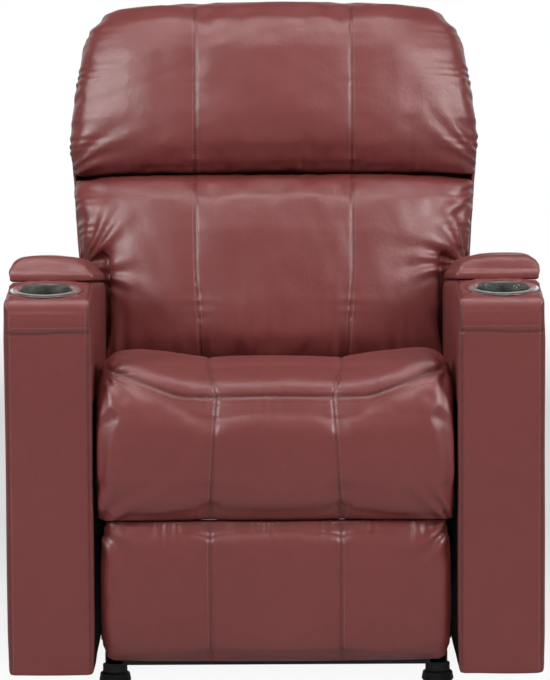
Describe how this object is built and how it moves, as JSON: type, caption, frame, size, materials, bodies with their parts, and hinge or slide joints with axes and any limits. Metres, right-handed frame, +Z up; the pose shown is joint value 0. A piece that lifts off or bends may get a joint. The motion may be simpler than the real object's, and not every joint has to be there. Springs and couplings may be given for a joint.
{
  "type": "cinema recliner seat",
  "caption": "Powered cinema recliner seat in channelled leather, with cup holders in the arms, a fold-out footrest and a reclining back on a steel mechanism.",
  "frame": {"origin": "on the floor, under the centre of the seat's bounding box", "axes": "+Z up; the sitter faces -Y; +X is the sitter's left"},
  "size_m": [0.845, 0.9378, 1.049],
  "materials": {
    "leather": "semi-gloss upholstery leather, reddish brown",
    "frame_paint": "black powder coat",
    "zinc": "zinc-plated steel",
    "cup_steel": "polished rim, satin inside",
    "plastic": "black moulded plastic",
    "buttons": "dark grey soft-touch plastic",
    "plywood": "raw plywood",
    "webbing": "black woven webbing",
    "nylon": "off-white nylon"
  },
  "bodies": {
    "base": {"base_rails": "frame_paint", "base_cross_tubes": "frame_paint", "feet": "plastic", "uprights": "frame_paint", "tracks": "frame_paint", "arm_bolts": "zinc", "arm_cover_left": "leather", "arm_cover_right": "leather", "arm_frame_left": "plywood", "arm_frame_right": "plywood", "cup_holder_left": "cup_steel", "cup_holder_right": "cup_steel", "arm_pad_left": "leather", "arm_pad_right": "leather", "control_switch": "plastic", "recline_motor": "plastic", "motor_post": "frame_paint", "power_inlet": "plastic"},
    "carriage": {"mechanism_plates": "frame_paint", "carriage_pins": "zinc", "seat_side_rails": "frame_paint", "seat_front_board": "plywood", "seat_rear_rail": "frame_paint", "carriage_tubes": "frame_paint", "seat_springs": "zinc", "seat_cushion": "leather", "drive_rail": "frame_paint", "footrest_motor": "plastic", "rod_clevis": "frame_paint", "recline_rod": "zinc"},
    "rollers_front": {"track_rollers_front": "nylon"},
    "rollers_rear": {"track_rollers_rear": "nylon"},
    "cranks": {"recline_cranks": "frame_paint", "crank_pins": "zinc"},
    "recline_link": {"recline_links": "frame_paint"},
    "backrest": {"back_brackets": "frame_paint", "back_pins": "zinc", "back_posts": "frame_paint", "back_rails": "frame_paint", "back_straps": "webbing", "back_shell": "leather", "lumbar_pillow": "leather", "head_pillow": "leather"},
    "footrest_drive_links": {"drive_links": "frame_paint", "drive_pins": "zinc", "torque_tube": "frame_paint"},
    "footrest_rear_links": {"rear_links": "frame_paint"},
    "footrest_outer_links": {"outer_links": "frame_paint", "outer_pins": "zinc"},
    "footrest_inner_links": {"inner_links": "frame_paint"},
    "footrest": {"footrest_brackets": "frame_paint", "footrest_pins": "zinc", "footrest_board": "plywood", "footrest_pad": "leather"},
    "footrest_nut": {"drive_nut": "nylon"},
    "button_back_recline": {"button_back_recline": "buttons"},
    "button_back_upright": {"button_back_upright": "buttons"},
    "button_foot_extend": {"button_foot_extend": "buttons"},
    "button_foot_retract": {"button_foot_retract": "buttons"}
  },
  "joints": [
    {"name": "carriage_slide", "type": "slide", "parent": "base", "child": "carriage", "axis": [0, -0.9903, 0.1392], "range_m": [0, 0.065]},
    {"name": "roller_front_spin", "type": "hinge", "parent": "carriage", "child": "rollers_front", "pos_m": [0, -0.13, 0.15132], "axis": [-1, 0, 0], "continuous": true},
    {"name": "roller_rear_spin", "type": "hinge", "parent": "carriage", "child": "rollers_rear", "pos_m": [0, 0.1, 0.119], "axis": [-1, 0, 0], "continuous": true},
    {"name": "crank_pivot", "type": "hinge", "parent": "carriage", "child": "cranks", "pos_m": [0, 0.035, 0.23], "axis": [-1, 0, 0], "range_deg": [0, 40]},
    {"name": "recline_link_pivot", "type": "hinge", "parent": "cranks", "child": "recline_link", "pos_m": [0, 0.05381, 0.17832], "axis": [-1, 0, 0], "range_deg": [-40, 0]},
    {"name": "backrest_recline", "type": "hinge", "parent": "carriage", "child": "backrest", "pos_m": [0, 0.175, 0.345], "axis": [-1, 0, 0], "range_deg": [0, 40]},
    {"name": "footrest_lift", "type": "hinge", "parent": "carriage", "child": "footrest_drive_links", "pos_m": [0, -0.20297, 0.32615], "axis": [-1, 0, 0], "range_deg": [0, 90.31]},
    {"name": "rear_link_pivot", "type": "hinge", "parent": "carriage", "child": "footrest_rear_links", "pos_m": [0, -0.22033, 0.2741], "axis": [-1, 0, 0], "range_deg": [0, 87.4]},
    {"name": "outer_link_pivot", "type": "hinge", "parent": "footrest_drive_links", "child": "footrest_outer_links", "pos_m": [0, -0.11754, 0.16569], "axis": [-1, 0, 0], "range_deg": [-81.15, 0]},
    {"name": "inner_link_pivot", "type": "hinge", "parent": "footrest_drive_links", "child": "footrest_inner_links", "pos_m": [0, -0.12653, 0.09169], "axis": [-1, 0, 0], "range_deg": [-81.1, 0]},
    {"name": "footrest_pivot", "type": "hinge", "parent": "footrest_outer_links", "child": "footrest", "pos_m": [0, -0.38355, 0.24016], "axis": [-1, 0, 0], "range_deg": [0, 80.84]},
    {"name": "footrest_nut_slide", "type": "slide", "parent": "carriage", "child": "footrest_nut", "axis": [0, -1, 0], "range_m": [0, 0.0497]},
    {"name": "button_back_recline_press", "type": "slide", "parent": "base", "child": "button_back_recline", "axis": [1, 0, 0], "range_m": [0, 0.002], "stiffness_N_per_m": 800},
    {"name": "button_back_upright_press", "type": "slide", "parent": "base", "child": "button_back_upright", "axis": [1, 0, 0], "range_m": [0, 0.002], "stiffness_N_per_m": 800},
    {"name": "button_foot_extend_press", "type": "slide", "parent": "base", "child": "button_foot_extend", "axis": [1, 0, 0], "range_m": [0, 0.002], "stiffness_N_per_m": 800},
    {"name": "button_foot_retract_press", "type": "slide", "parent": "base", "child": "button_foot_retract", "axis": [1, 0, 0], "range_m": [0, 0.002], "stiffness_N_per_m": 800}
  ],
  "couplings": [
    {"joint": "roller_front_spin", "follows": "carriage_slide", "rad_per_m": -66.667},
    {"joint": "roller_rear_spin", "follows": "carriage_slide", "rad_per_m": -66.667},
    {"joint": "crank_pivot", "follows": "carriage_slide", "rad_per_m": 10.74},
    {"joint": "recline_link_pivot", "follows": "carriage_slide", "rad_per_m": -10.74},
    {"joint": "backrest_recline", "follows": "carriage_slide", "rad_per_m": 10.74},
    {"joint": "rear_link_pivot", "follows": "footrest_lift", "ratio": 0.96759},
    {"joint": "outer_link_pivot", "follows": "footrest_lift", "ratio": -0.89843},
    {"joint": "inner_link_pivot", "follows": "footrest_lift", "ratio": -0.89782},
    {"joint": "footrest_pivot", "follows": "footrest_lift", "ratio": 0.89495},
    {"joint": "footrest_nut_slide", "follows": "footrest_lift", "m_per_rad": 0.031485}
  ]
}
